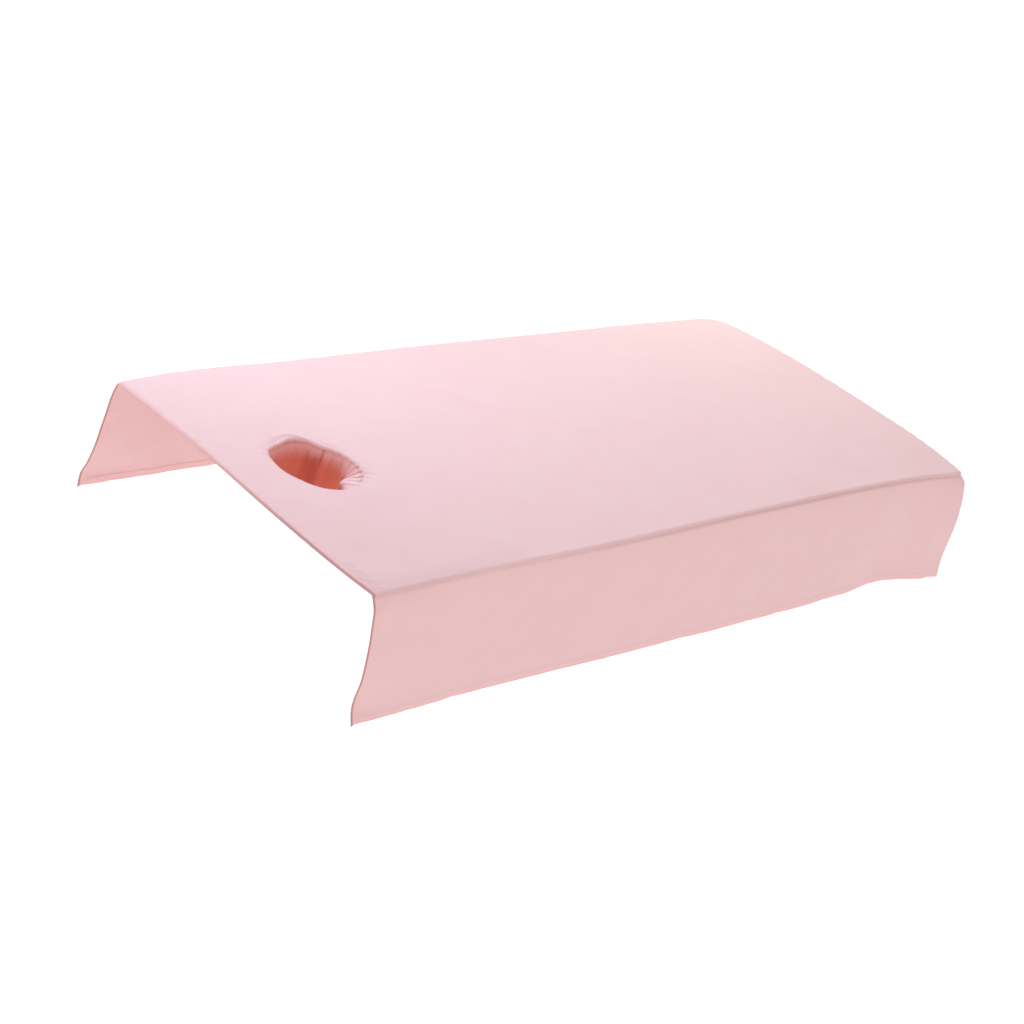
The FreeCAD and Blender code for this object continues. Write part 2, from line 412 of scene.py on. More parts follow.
def drop(name, s, d):
    """A drop's outer face: s along its seam, and d down from it."""
    s, d = np.broadcast_arrays(np.asarray(s, float), np.asarray(d, float))
    edge = EDGES[name]
    start, end = edge["span"]
    lean = edge["lean"](s, d)
    seed = edge["seed"]
    waves = 0.7 * ripple(s, 0.15 * d, 0.21, seed) + 0.25 * ripple(s, 0.2 * d, 0.07, seed + 5)
    lean = lean + step(0.02, 0.22, d) * waves * MM
    lean = lean + 0.35 * MM * step(0, 0.04, d) * ripple(s, d, 0.06, seed + 10)

    rise = DROP_LENGTH - d
    side = np.minimum(s - start, end - s)
    hem = np.minimum(rise, side)
    relief = 0.35 * step(18 * MM, 11 * MM, hem) - 0.15 * bump(hem, 13.5 * MM, 1.5 * MM)
    relief = relief + 0.3 * ripple(s, d, 24 * MM, seed + 15) * bump(hem, 13 * MM, 8 * MM)
    lean = lean + relief * MM * step(4 * MM, 14 * MM, d) - tuck(d)

    at = panel(*by_edge(name, s, 0.0))
    at = at + lean[..., None] * np.array(edge["out"], float)
    # the cloth's length goes mostly downwards, less by what its lean takes
    fall = np.sqrt(np.maximum(d**2 - (0.9 * lean) ** 2, 0.25 * d**2))
    at[..., 2] -= fall + edge["extra"](s) * d / DROP_LENGTH
    return at


def drop_cloth(name, s, d):
    """A drop's thickness, with more layers in its hems, and its tint: the hems' deeper colour, and on the
    right drop painted shade high up near its head end.
    """
    start, end = EDGES[name]["span"]
    hem = np.minimum(DROP_LENGTH - d, np.minimum(s - start, end - s))
    layers = step(HEM + 1 * MM, HEM - 0.5 * MM, hem) * step(2 * MM, 8 * MM, d)
    # painted shade high on the right drop, near its head end
    head_painted_shade = 0.3 * step(0.09, 0, d) * np.exp(-(s - start) / 0.16) if name == "right" else 0
    return CLOTH + (HEM_CLOTH - CLOTH) * layers, np.maximum(step(9 * MM, 3 * MM, hem), head_painted_shade)


# --- the sleeve ---

SLEEVE_END = 100 * MM
SLEEVE_TAPER = 11 * MM
# from the casing's cut edge, round the elastic and down the inside, in millimetres:
# (out from the rim, height)
SLEEVE_PROFILE = [
    (0.7, -13.2), (2.4, -13.0), (3.6, -12.0), (3.9, -9.5), (3.9, -5.0), (3.5, -3.6), (2.5, -3.0),
    (1.5, -3.4), (1.1, -4.6), (1.0, -6.4), (0.4, -8.0), (-0.3, -10.0), (-0.8, -13.0),
]
CASING = 24 * MM  # the casing's share of the cloth
SLEEVE_CLOTH = CASING + SLEEVE_END - 13 * MM  # from the casing's cut edge to the hem


def sleeve_profile(t):
    """(out from the rim, depth below it, depth below the casing) along the sleeve's cloth."""
    places = np.linspace(0, CASING, len(SLEEVE_PROFILE))
    below = np.maximum(t - CASING, 0)
    out, height = (np.interp(t, places, values) * MM for values in zip(*SLEEVE_PROFILE))
    return out - SLEEVE_TAPER * np.clip(below / SLEEVE_END, 0, 1), below - height, below


def sleeve_slope(theta, depth):
    """How much of its way inwards the sleeve has come: all of it at its right end, some at its left end."""
    where = around(theta, SHELF_ANGLE, 34) + 0.3 * around(theta, LEFT_END, 16)
    return step(3 * MM, 40 * MM, depth) * where


def sleeve_base(theta):
    """(x, y, z) of the rim that the sleeve's own shape is measured from."""
    x, y = rim_point(theta)
    return x, y, crown(x, y) + PANEL_HIGH[2] - RIM_SAG


def sleeve(theta, t):
    """The sleeve's face that shows in the opening. t runs along the cloth, from the casing to the hem."""
    theta, t = np.broadcast_arrays(np.asarray(theta, float), np.asarray(t, float))
    out, depth, below = sleeve_profile(t)
    slope = sleeve_slope(theta, depth)
    gathers, pleats = rim_gathers(theta), end_pleats(theta)
    grown = step(0, 20 * MM, below)
    fine = step(60 * MM, 0, below)
    out = out - SHELF * slope + (GATHER_OUT * gathers + PLEAT_OUT * pleats) * fine
    out = out + 1.5 * MM * folds(theta, 31, 18, 1.2) * step(0, 8 * MM, below) * fine
    out = out + 2.6 * MM * grown * folds(theta, 13, 8, 1.8)

    # the deep pleat: cloth drawn in, pushed out beside it, and leaning over
    strong = step(0, 16 * MM, below)
    out = out - 7 * MM * strong * around(theta, PLEAT_ANGLE - 9, 8)
    out = out + 5 * MM * strong * around(theta, PLEAT_ANGLE + 4, 5)
    lean = 9 * MM * strong * around(theta, PLEAT_ANGLE - 4, 6)

    x, y, base = sleeve_base(theta)
    x = x + out * np.cos(theta) - lean * np.sin(theta)
    y = y + out * np.sin(theta) + lean * np.cos(theta)
    top = step(45 * MM, 12 * MM, t)
    swell = GATHER_UP * gathers * top + PLEAT_UP * pleats * np.maximum(top, slope)
    swell = swell + SHELF_LIFT * slope + 1.5 * MM * grown * np.sin(3 * theta)
    return np.stack([x, y, base + swell - depth], -1)


def sleeve_cloth(theta, t):
    """The sleeve's thickness, more in its hem, and its painted shade: a deeper red farther down the
    opening, away from the light, and less where the sleeve comes in nearly flat at its ends.
    """
    layers = step(SLEEVE_CLOTH - HEM - 1 * MM, SLEEVE_CLOTH - HEM + 0.5 * MM, t) + 0 * theta
    tint = 0.28 + 0.72 * step(12 * MM, 58 * MM, t)
    # less painted shade where the sleeve comes up nearly flat, at the opening's right and left ends
    ends = np.maximum(around(theta, SHELF_ANGLE, 34), 0.8 * around(theta, 152, 18))
    ends = ends * step(60 * MM, 46 * MM, t)
    return CLOTH + (HEM_CLOTH - CLOTH) * layers, tint * (1 - np.minimum(1.1 * ends, 1))


# --- meshes ---

def mesh_object(name, points, faces, values=None):
    """A smooth mesh object. values are its per-point attributes."""
    mesh = bpy.data.meshes.new(name)
    mesh.from_pydata(points.tolist(), [], [list(face) for face in faces])
    mesh.polygons.foreach_set("use_smooth", [True] * len(mesh.polygons))
    for key, value in (values or {}).items():
        mesh.attributes.new(key, "FLOAT", "POINT").data.foreach_set("value", np.asarray(value, np.float32))
    mesh.update()
    obj = bpy.data.objects.new(name, mesh)
    bpy.context.scene.collection.objects.link(obj)
    return obj


def grid_faces(ids, wrap=False):
    """Quads over a grid of point numbers. wrap joins the last column to the first."""
    if wrap:
        ids = np.hstack([ids, ids[:, :1]])
    return np.stack([ids[:-1, :-1], ids[:-1, 1:], ids[1:, 1:], ids[1:, :-1]], -1).reshape(-1, 4)


def point_normals(points, quads):
    a, b, c, d = (points[quads[:, k]] for k in range(4))
    across = np.cross(c - a, d - b)
    normals = np.zeros_like(points)
    for k in range(4):
        np.add.at(normals, quads[:, k], across)
    return normals / np.maximum(np.linalg.norm(normals, axis=1, keepdims=True), 1e-12)


def cloth_object(name, points, quads, thickness, layers, painted_shade):
    """A closed sheet: the given face, a second one behind it, and rounded folds along its borders."""
    count = len(points)
    normals = point_normals(points, quads)
    back = points - normals * thickness[:, None]

    edges = np.concatenate([quads[:, [k, (k + 1) % 4]] for k in range(4)])
    key = np.sort(edges, 1)
    _, first, uses = np.unique(key, axis=0, return_index=True, return_counts=True)
    border = edges[first[uses == 1]]
    inwards = np.zeros_like(points)
    centres = points[quads].mean(1)
    for k in range(4):
        np.add.at(inwards, quads[:, k], centres - points[quads[:, k]])
    rim = np.unique(border)
    away = -inwards[rim]
    away -= normals[rim] * (away * normals[rim]).sum(1, keepdims=True)
    away /= np.maximum(np.linalg.norm(away, axis=1, keepdims=True), 1e-12)
    fold = (points[rim] + back[rim]) / 2 + away * thickness[rim, None] * 0.45
    number = np.full(count, -1)
    number[rim] = 2 * count + np.arange(len(rim))
    a, b = border.T
    faces = np.concatenate([
        quads,
        quads[:, ::-1] + count,
        np.stack([b, a, number[a], number[b]], 1),
        np.stack([number[b], number[a], a + count, b + count], 1),
    ])
    # per point: the share of the hem colour, and how much painted shade
    values = {
        "layers": np.concatenate([layers, layers, layers[rim]]),
        "painted_shade": np.concatenate([painted_shade, painted_shade, painted_shade[rim]]),
    }
    return mesh_object(name, np.concatenate([points, back, fold]), faces, values)


def tube_mesh(name, path, radius):
    """A thread along an open path."""
    ahead = np.gradient(path, axis=0)
    ahead /= np.linalg.norm(ahead, axis=1, keepdims=True)
    up = np.array([0.13, 0.21, 0.97])  # a direction that no thread runs along
    across = np.cross(ahead, up)
    across /= np.maximum(np.linalg.norm(across, axis=1, keepdims=True), 1e-9)
    other = np.cross(ahead, across)
    turn = np.arange(SIDES) * 2 * math.pi / SIDES
    ring = across[:, None] * np.cos(turn)[:, None] + other[:, None] * np.sin(turn)[:, None]
    points = (path[:, None] + radius * ring).reshape(-1, 3)
    ids = np.arange(len(points)).reshape(-1, SIDES)
    faces = [list(f) for f in grid_faces(ids, True)] + [list(ids[0][::-1]), list(ids[-1])]
    return mesh_object(name, points, faces)


def stitch_points(path, normals):
    """Capsules laid end to end along a path, half sunk in the cloth: (points, faces)."""
    gaps = np.linalg.norm(np.diff(path, axis=0), axis=1)
    along = np.concatenate([[0], np.cumsum(gaps)])
    pitch = STITCH + STITCH_GAP
    count = max(int(along[-1] / pitch), 1)
    middle = (np.arange(count) + 0.5) * along[-1] / count
    rings = np.array([-1.0, -0.72, 0.0, 0.72, 1.0])
    sizes = np.array([0.25, 0.85, 1.0, 0.85, 0.25])
    turn = np.arange(SIDES) * 2 * math.pi / SIDES
    at = middle[:, None] + rings * STITCH / 2
    spot = np.stack([np.interp(at, along, path[:, k]) for k in range(3)], -1)
    up = np.stack([np.interp(at, along, normals[:, k]) for k in range(3)], -1)
    up /= np.linalg.norm(up, axis=-1, keepdims=True)
    ahead = spot[:, -1:] - spot[:, :1]
    ahead = ahead / np.linalg.norm(ahead, axis=-1, keepdims=True)
    across = np.cross(ahead, up)
    spot = spot + up * THREAD * (0.35 * (1 - rings**2) - 0.1)[:, None]
    wide = across[:, :, None] * np.cos(turn)[:, None] * 0.62 * THREAD
    tall = up[:, :, None] * np.sin(turn)[:, None] * 0.5 * THREAD
    points = spot[:, :, None] + (wide + tall) * sizes[:, None, None]
    ids = np.arange(count * len(rings) * SIDES).reshape(count, len(rings), SIDES)
    faces = []
    for one in ids:
        faces += grid_faces(one, True).tolist()
        faces += [one[0][::-1].tolist(), one[-1].tolist()]
    return points.reshape(-1, 3), faces


def stitches(name, rows):
    """One object of stitch rows, each (path, normals)."""
    points, faces, start = [], [], 0
    for path, normals in rows:
        some, these = stitch_points(path, normals)
        points.append(some)
        faces += [[start + i for i in face] for face in these]
        start += len(some)
    return mesh_object(name, np.concatenate(points), faces)


def surface_at(shape, u, v, flip=False):
    """Points on a surface, and its normals there."""
    span = 0.4 * MM
    at = shape(u, v)
    du = shape(u + span, v) - shape(u - span, v)
    dv = shape(u, v + span) - shape(u, v - span)
    normal = np.cross(du, dv) * (-1 if flip else 1)
    return at, normal / np.maximum(np.linalg.norm(normal, axis=-1, keepdims=True), 1e-15)


def stitch_rows(shape, cloth, u, v, flip=False):
    """Stitch rows along a line on a surface, on its face and on its back."""
    at, normal = surface_at(shape, u, v, flip)
    return [(at, normal), (at - normal * cloth(u, v)[0][..., None], -normal)]


# --- materials ---

def new_material(name, roughness):
    material = bpy.data.materials.new(name)
    material.use_nodes = True
    tree = material.node_tree
    shader = tree.nodes["Principled BSDF"]
    shader.inputs["Roughness"].default_value = roughness
    shader.inputs["Specular IOR Level"].default_value = 0.25
    return material, tree, shader


def node(tree, kind, **inputs):
    made = tree.nodes.new(kind)
    for key, value in inputs.items():
        made.inputs[key.replace("_", " ")].default_value = value
    return made


def colour_mix(tree, factor, low, high, blend="MIX"):
    """A colour between low and high, each a colour or a socket."""
    mix = tree.nodes.new("ShaderNodeMix")
    mix.data_type = "RGBA"
    mix.blend_type = blend
    for socket, value in ((mix.inputs[0], factor), (mix.inputs[6], low), (mix.inputs[7], high)):
        if isinstance(value, bpy.types.NodeSocket):
            tree.links.new(value, socket)
        elif isinstance(value, tuple):
            socket.default_value = (*value, 1.0)
        else:
            socket.default_value = value
    return mix.outputs[2]


def scaled(tree, socket, factor, offset=0.0):
    maths = tree.nodes.new("ShaderNodeMath")
    maths.operation = "MULTIPLY_ADD"
    tree.links.new(socket, maths.inputs[0])
    maths.inputs[1].default_value = factor
    maths.inputs[2].default_value = offset
    return maths.outputs[0]


def pattern(tree, kind, direction=None, **inputs):
    """A texture over the object's own coordinates."""
    made = node(tree, "ShaderNodeTex" + kind, **inputs)
    if direction:
        made.bands_direction = direction
    place = tree.nodes.new("ShaderNodeTexCoord")
    tree.links.new(place.outputs["Object"], made.inputs["Vector"])
    return made


def attribute(tree, name):
    made = tree.nodes.new("ShaderNodeAttribute")
    made.attribute_name = name
    return made.outputs["Fac"]


def add_bump(tree, shader, height, strength, distance):
    bumped = node(tree, "ShaderNodeBump", Strength=strength, Distance=distance)
    tree.links.new(height, bumped.inputs["Height"])
    tree.links.new(bumped.outputs["Normal"], shader.inputs["Normal"])


def cotton(name, pale, deep, fold, hem, hem_tint_and_painted_shade_share, sheen):
    """Plain-woven brushed cotton: weave, slubs, soft mottling, deeper colour in hems, and painted shade in
    folds and grooves.
    """
    material, tree, shader = new_material(name, 0.86)
    where = tree.nodes.new("ShaderNodeTexCoord")
    facing = tree.nodes.new("ShaderNodeSeparateXYZ")
    tree.links.new(where.outputs["Normal"], facing.inputs[0])
    mottle = pattern(tree, "Noise", Scale=9.0, Detail=5.0, Roughness=0.6)
    slub = pattern(tree, "Noise", Scale=260.0, Detail=3.0, Roughness=0.7)
    weave = []
    for direction in ("X", "Y", "Z"):
        wave = pattern(tree, "Wave", direction, Scale=640.0, Distortion=0.8, Detail=1.0)
        # bands that would run through the cloth are left out
        through_cloth = tree.nodes.new("ShaderNodeMath")
        through_cloth.operation = "ABSOLUTE"
        tree.links.new(facing.outputs[direction], through_cloth.inputs[0])
        weave.append(colour_mix(tree, through_cloth.outputs[0], wave.outputs["Color"], (0.8, 0.8, 0.8)))
    threads = colour_mix(tree, 0.5, weave[0], weave[1], "MULTIPLY")
    threads = colour_mix(tree, 0.5, threads, weave[2], "MULTIPLY")

    colour = colour_mix(tree, scaled(tree, mottle.outputs["Fac"], 1.4, -0.2), pale, deep)
    speck = tuple(0.94 * c for c in deep)
    colour = colour_mix(tree, scaled(tree, slub.outputs["Fac"], 0.5, -0.1), colour, speck)
    colour = colour_mix(tree, 0.07, colour, threads, "MULTIPLY")
    # mixed towards hem by the layers attribute: the hems' deeper colour on the panel and drops, and painted
    # shade on the sleeve
    colour = colour_mix(tree, scaled(tree, attribute(tree, "layers"), hem_tint_and_painted_shade_share), colour, hem)
    # painted shade: darker towards the fold colour in folds, seams' grooves, hollows and edges turned from
    # the light
    colour = colour_mix(tree, scaled(tree, attribute(tree, "painted_shade"), 0.75), colour, fold)
    tree.links.new(colour, shader.inputs["Base Color"])

    shader.inputs["Sheen Weight"].default_value = sheen
    shader.inputs["Sheen Roughness"].default_value = 0.45
    shader.inputs["Sheen Tint"].default_value = (1.0, 0.95, 1.0, 1.0)
    rough = scaled(tree, slub.outputs["Fac"], 0.14, 0.79)
    tree.links.new(rough, shader.inputs["Roughness"])
    add_bump(tree, shader, colour_mix(tree, 0.45, threads, slub.outputs["Fac"]), 0.25, 0.0004)
    return material


def twisted(name, pale, deep):
    """Spun thread: fine twist lines along each stitch."""
    material, tree, shader = new_material(name, 0.7)
    twist = pattern(tree, "Wave", "DIAGONAL", Scale=900.0, Distortion=2.0, Detail=2.0)
    lint = pattern(tree, "Noise", Scale=60.0, Detail=4.0)
    colour = colour_mix(tree, twist.outputs["Fac"], deep, pale)
    colour = colour_mix(tree, scaled(tree, lint.outputs["Fac"], 0.4), colour, deep)
    tree.links.new(colour, shader.inputs["Base Color"])
    shader.inputs["Sheen Weight"].default_value = 0.3
    add_bump(tree, shader, twist.outputs["Fac"], 0.4, 0.0001)
    return material


def ribbed(name):
    """Woven elastic: pale ribs with darker rubber between."""
    material, tree, shader = new_material(name, 0.6)
    ribs = pattern(tree, "Wave", "Z", Scale=210.0, Distortion=0.3)
    grain = pattern(tree, "Noise", Scale=900.0, Detail=2.0)
    colour = colour_mix(tree, ribs.outputs["Fac"], (0.62, 0.60, 0.58), (0.86, 0.85, 0.83))
    colour = colour_mix(tree, scaled(tree, grain.outputs["Fac"], 0.3), colour, (0.7, 0.68, 0.66))
    tree.links.new(colour, shader.inputs["Base Color"])
    add_bump(tree, shader, ribs.outputs["Fac"], 0.6, 0.0003)
    return material


# fold is the colour of the painted shade in folds, seams' grooves and hollows; hem is the hems' deeper
# colour
COTTON = cotton(
    "pink_cotton", pale=(0.90, 0.615, 0.60), deep=(0.88, 0.57, 0.55), fold=(0.46, 0.20, 0.18),
    hem=(0.95, 0.52, 0.50), hem_tint_and_painted_shade_share=0.7, sheen=0.30,
)
# the sleeve's cotton: fold is painted shade in its folds, and hem is painted shade, deep red, farther down
# the opening
SLEEVE_COTTON = cotton(
    "pink_cotton_sleeve_painted_shade", pale=(0.94, 0.67, 0.66), deep=(0.92, 0.61, 0.59), fold=(0.40, 0.035, 0.02),
    hem=(0.70, 0.18, 0.12), hem_tint_and_painted_shade_share=1.0, sheen=0.15,
)
THREAD_COTTON = twisted("pink_thread", (0.93, 0.66, 0.66), (0.84, 0.52, 0.51))
ELASTIC = ribbed("white_elastic")


def finish_piece(obj, material, replaced, body="cover_top"):
    """Gives a piece its material and hides the CAD nodes that it stands for.
    A piece on the top moves with the top's body; any other piece has its place baked into its mesh."""
    obj.data.materials.append(material)
    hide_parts(*replaced)
    if body == "cover_top":
        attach(obj, body)
    else:
        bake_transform(obj)
    return obj


# --- build the top panel ---

# grid lines' distances from an edge
FINE = np.array([0, 0.5, 1, 1.5, 2, 3, 4.5, 6, 7.5, 9, 10.5, 12, 13, 14, 15, 16, 18, 21, 25, 30]) * MM
PATCH = np.array([0.135, 0.148])  # half the size of the finer patch round the opening
PATCH_GRID = 3.6 * MM
# the rings from the patch's border in to the rim, as shares of the way
RINGS = np.array([
    0.86, 0.73, 0.61, 0.5, 0.41, 0.33, 0.265, 0.21, 0.165, 0.128, 0.098, 0.073, 0.052, 0.036, 0.024, 0.015,
    0.008, 0.003, 0,
])
# below the rim's roll: (down into the opening, how much painted shade)
RIM_WALL = [(0.8 * MM, 0), (1.6 * MM, 0.1), (2.2 * MM, 0.5)]


def spaced(low, high, gap):
    return np.linspace(low, high, max(int(round((high - low) / gap)), 1) + 1)


def panel_lines():
    """Where the panel's grid lines run: finer at the edges and round the opening."""
    low, high = HOLE - PATCH, HOLE + PATCH

    def lines(axis, half, gap_below, gap_above):
        return np.unique(np.concatenate([
            FINE - half,
            spaced(FINE[-1] - half, low[axis], gap_below),
            spaced(low[axis], high[axis], PATCH_GRID),
            spaced(high[axis], half - FINE[-1], gap_above),
            half - FINE,
        ]).round(7))

    return lines(0, HALF_LENGTH, 6 * MM, 9 * MM), lines(1, HALF_WIDTH, 8 * MM, 8 * MM)


def build_panel():
    xs, ys = panel_lines()
    x, y = np.meshgrid(xs, ys)
    dx, dy = np.abs(x - HOLE[0]) - PATCH[0], np.abs(y - HOLE[1]) - PATCH[1]
    tiny = 1e-6
    kept = (dx > -tiny) | (dy > -tiny)  # outside the patch or on its border
    ids = np.full(x.shape, -1)
    ids[kept] = np.arange(kept.sum())
    quads = grid_faces(ids)
    middle_x, middle_y = ((c[:-1, :-1] + c[1:, 1:]).ravel() / 2 for c in (x, y))
    in_patch = (np.abs(middle_x - HOLE[0]) < PATCH[0]) & (np.abs(middle_y - HOLE[1]) < PATCH[1])
    quads = quads[~in_patch]

    # rings between the patch's border and the rim
    on_border = kept & (dx < tiny) & (dy < tiny)
    border_ids = ids[on_border]
    bx, by = x[on_border], y[on_border]
    order = np.argsort(rim_polar(bx, by)[0])
    border_ids, bx, by = border_ids[order], bx[order], by[order]
    theta = rim_polar(bx, by)[0]
    rx, ry = rim_point(theta)
    plan = np.stack([rx + (bx - rx) * RINGS[:, None], ry + (by - ry) * RINGS[:, None]], -1)
    flat = np.concatenate([np.stack([x[kept], y[kept]], 1), plan.reshape(-1, 2)])
    points = panel(flat[:, 0], flat[:, 1])
    thickness, layers = panel_cloth(flat[:, 0], flat[:, 1])
    painted_shade = panel_painted_shade(flat[:, 0], flat[:, 1])

    wall = np.concatenate([rim_wall(theta, down) for down, _ in RIM_WALL])
    count = len(points)
    inner = np.arange(kept.sum(), count + len(wall)).reshape(-1, len(theta))
    ring_quads = grid_faces(np.vstack([border_ids, inner]), True)
    points = np.concatenate([points, wall])
    thickness = np.concatenate([thickness, np.full(len(wall), thickness[count - 1])])
    layers = np.concatenate([layers, np.full(len(wall), 0.3)])
    # painted shade on the rim's wall, in the valleys of the gathers and pleats and deeper down into the
    # opening
    dark = 0.8 * valleys(0.5 * rim_gathers(theta) + end_pleats(theta))
    painted_shade = np.concatenate([painted_shade, *(dark + shade for _, shade in RIM_WALL)])

    quads = np.concatenate([quads, ring_quads])
    top = cloth_object("top_panel_cloth", points, quads, thickness, layers, painted_shade)
    return finish_piece(top, COTTON, ["top_panel"])


top_cloth = build_panel()


def stitched(name, rows, replaced, body="cover_top"):
    return finish_piece(stitches(name, rows), THREAD_COTTON, [replaced], body)


HEM_LINE = HEM - 1.5 * MM  # a hem's stitches' distance from its edge
RIM_LINE = 6 * MM  # the rim's stitches' distance from the rim
SEAM_LINE = 3.2 * MM  # a seam's stitches' distance from it, through the folded allowance

ys = np.linspace(END_INSET - HALF_WIDTH, HALF_WIDTH - END_INSET, 700)
head_thread = stitched(
    "head_hem_stitches",
    stitch_rows(panel, panel_cloth, np.full_like(ys, HEM_LINE - HALF_LENGTH), ys),
    "head_hem_thread",
)

FULL_TURN = np.linspace(-math.pi, math.pi, 900)
rim_thread = stitched(
    "rim_stitches",
    stitch_rows(panel, panel_cloth, *rim_point(FULL_TURN, 1 + RIM_LINE / MEAN_RIM)),
    "face_hole_rim_thread",
)

# --- build the seams' stitches and overlocked edges, under the top panel ---

OVERLOCK_INSET = 10 * MM  # from the panel's ends
OVERLOCK_PITCH = 2.4 * MM
OVERLOCK_LINE = 9.8 * MM  # its middle's distance from the seam
OVERLOCK_HALF = 2.4 * MM  # half its width
OVERLOCK_THREAD = 0.22 * MM  # the thread's radius

for name, edge in EDGES.items():
    start, end = edge["span"]
    s = np.linspace(start + END_INSET, end - END_INSET, 1200)
    rows = stitch_rows(panel, panel_cloth, *by_edge(name, s, np.full_like(s, SEAM_LINE)))
    stitched(f"{name}_seam_stitches", rows[1:], f"{name}_seam_thread")

    length = end - start - 2 * OVERLOCK_INSET
    loops = int(length / OVERLOCK_PITCH)
    t = np.linspace(0, loops, loops * 8 + 1)
    depth = OVERLOCK_LINE + OVERLOCK_HALF * np.sin(2 * math.pi * t)
    lift = 0.25 * MM + 0.12 * MM * np.cos(4 * math.pi * t)
    u, v = by_edge(name, start + OVERLOCK_INSET + length * t / loops, depth)
    at, normal = surface_at(panel, u, v)
    path = at - normal * (panel_cloth(u, v)[0] + lift)[:, None]
    overlock = tube_mesh(f"{name}_seam_overlock_thread", path, OVERLOCK_THREAD)
    finish_piece(overlock, THREAD_COTTON, [f"{name}_seam_overlock"])

# --- build the sleeve, its elastic and its stitches ---

def sleeve_painted_shade(theta, t):
    """Painted shade on the sleeve: in its deep pleat, in the valleys of its pleats, gathers and folds,
    where the shelf turns down and in a line under the casing on the far side.
    """
    dark = 0.75 * around(theta, PLEAT_ANGLE - 9, 6) * step(20 * MM, 40 * MM, t)
    narrow = 0.6 * around(theta, PLEAT_ANGLE - 15, 1.6) * step(14 * MM, 22 * MM, t)
    dark = dark + narrow * step(60 * MM, 40 * MM, t)
    dark = dark + valleys(1.3 * end_pleats(theta)) * step(6 * MM, 14 * MM, t) * step(70 * MM, 50 * MM, t)
    dark = dark + 0.6 * around(theta, SHELF_ANGLE, 30) * bump(t, 57 * MM, 6 * MM)
    dark = dark + 0.4 * valleys(rim_gathers(theta)) * step(30 * MM, 16 * MM, t)
    dark = dark + 0.4 * bump(t, 21 * MM, 2.2 * MM) * around(theta, 85, 60)
    small = 0.22 * valleys(folds(theta, 31, 18, 1.2)) * step(24 * MM, 34 * MM, t)
    return np.clip(dark + small * step(70 * MM, 40 * MM, t), 0, 1)


def build_sleeve():
    theta = np.linspace(-math.pi, math.pi, 520, endpoint=False)
    t = np.concatenate([
        np.linspace(0, CASING, 37), spaced(CASING, SLEEVE_CLOTH - HEM - 2 * MM, 2.6 * MM)[1:],
        SLEEVE_CLOTH - HEM + np.array([-1, 0, 1, 3, 6, 9, 12, 14, 15]) * MM,
    ])
    angle, along = np.meshgrid(theta, t)
    points = sleeve(angle, along).reshape(-1, 3)
    # layers here carries the sleeve's painted shade, not its cloth layers
    thickness, layers = (a.ravel() for a in sleeve_cloth(angle, along))
    quads = grid_faces(np.arange(len(points)).reshape(angle.shape), True)
    painted_shade = sleeve_painted_shade(angle, along).ravel()
    piece = cloth_object("face_hole_sleeve_cloth", points, quads, thickness, layers, painted_shade)
    return finish_piece(piece, SLEEVE_COTTON, ["face_hole_sleeve"])


sleeve_piece = build_sleeve()


def build_elastic():
    """A ribbed band in the casing, between its two walls."""
    theta = np.linspace(-math.pi, math.pi, 360, endpoint=False)
    rib = 0.12 * MM * np.cos(6 * math.pi * np.linspace(-1, 1, 25))
    height = np.linspace(-4.6, -11.6, 25) * MM
    half = 0.35 * MM + rib
    profile = np.concatenate([np.stack([half, height], 1), np.stack([-half, height], 1)[::-1]])
    angle, k = np.meshgrid(theta, np.arange(len(profile)), indexing="ij")
    slope = sleeve_slope(angle, -profile[k, 1])
    gathers, pleats = rim_gathers(angle), end_pleats(angle)
    middle = 2.5 * MM  # of the casing, out from the rim
    out = profile[k, 0] + middle - SHELF * slope + GATHER_OUT * gathers + PLEAT_OUT * pleats
    x, y, base = sleeve_base(angle)
    z = base + profile[k, 1] + SHELF_LIFT * slope + GATHER_UP * gathers + PLEAT_UP * pleats
    points = np.stack([x + out * np.cos(angle), y + out * np.sin(angle), z], -1).reshape(-1, 3)
    ids = np.arange(len(points)).reshape(angle.shape)
    ids = np.vstack([ids, ids[:1]])
    faces = grid_faces(ids, True)
    piece = mesh_object("face_hole_elastic_band", points, faces)
    return finish_piece(piece, ELASTIC, ["face_hole_elastic"])


elastic_piece = build_elastic()


def sleeve_rows(angle, t, along):
    """Stitch rows on the sleeve's inside and its outside. along is the cloth's way down the sleeve."""
    at = sleeve(angle, t)
    ahead = sleeve(angle + 1e-3, t) - sleeve(angle - 1e-3, t)
    normal = np.cross(ahead, along)
    normal /= np.linalg.norm(normal, axis=1, keepdims=True)
    cloth = sleeve_cloth(angle, t)[0]
    return [(at, normal), (at - normal * cloth[:, None], -normal)]


hem_line = SLEEVE_CLOTH - HEM_LINE
along = sleeve(FULL_TURN, hem_line + 0.5 * MM) - sleeve(FULL_TURN, hem_line - 0.5 * MM)
sleeve_hem_piece = stitched(
    "sleeve_hem_stitches", sleeve_rows(FULL_TURN, hem_line, along), "sleeve_hem_thread",
)

# the side seam, where the angle is 0, shows on the outside only
down = np.linspace(27 * MM, SLEEVE_CLOTH - 3 * MM, 200)
along = np.gradient(sleeve(0.0, down), axis=0)
side_piece = stitched("sleeve_side_stitches", sleeve_rows(0.0, down, along)[1:], "sleeve_side_thread")

# --- build the drops ---

END_THREADS = {
    "right": ("right_drop_head_hem_thread", "right_drop_foot_hem_thread"),
    "left": ("left_drop_head_hem_thread", "left_drop_foot_hem_thread"),
    "foot": ("foot_drop_right_hem_thread", "foot_drop_left_hem_thread"),
}
drop_cloths, drop_threads = {}, {}


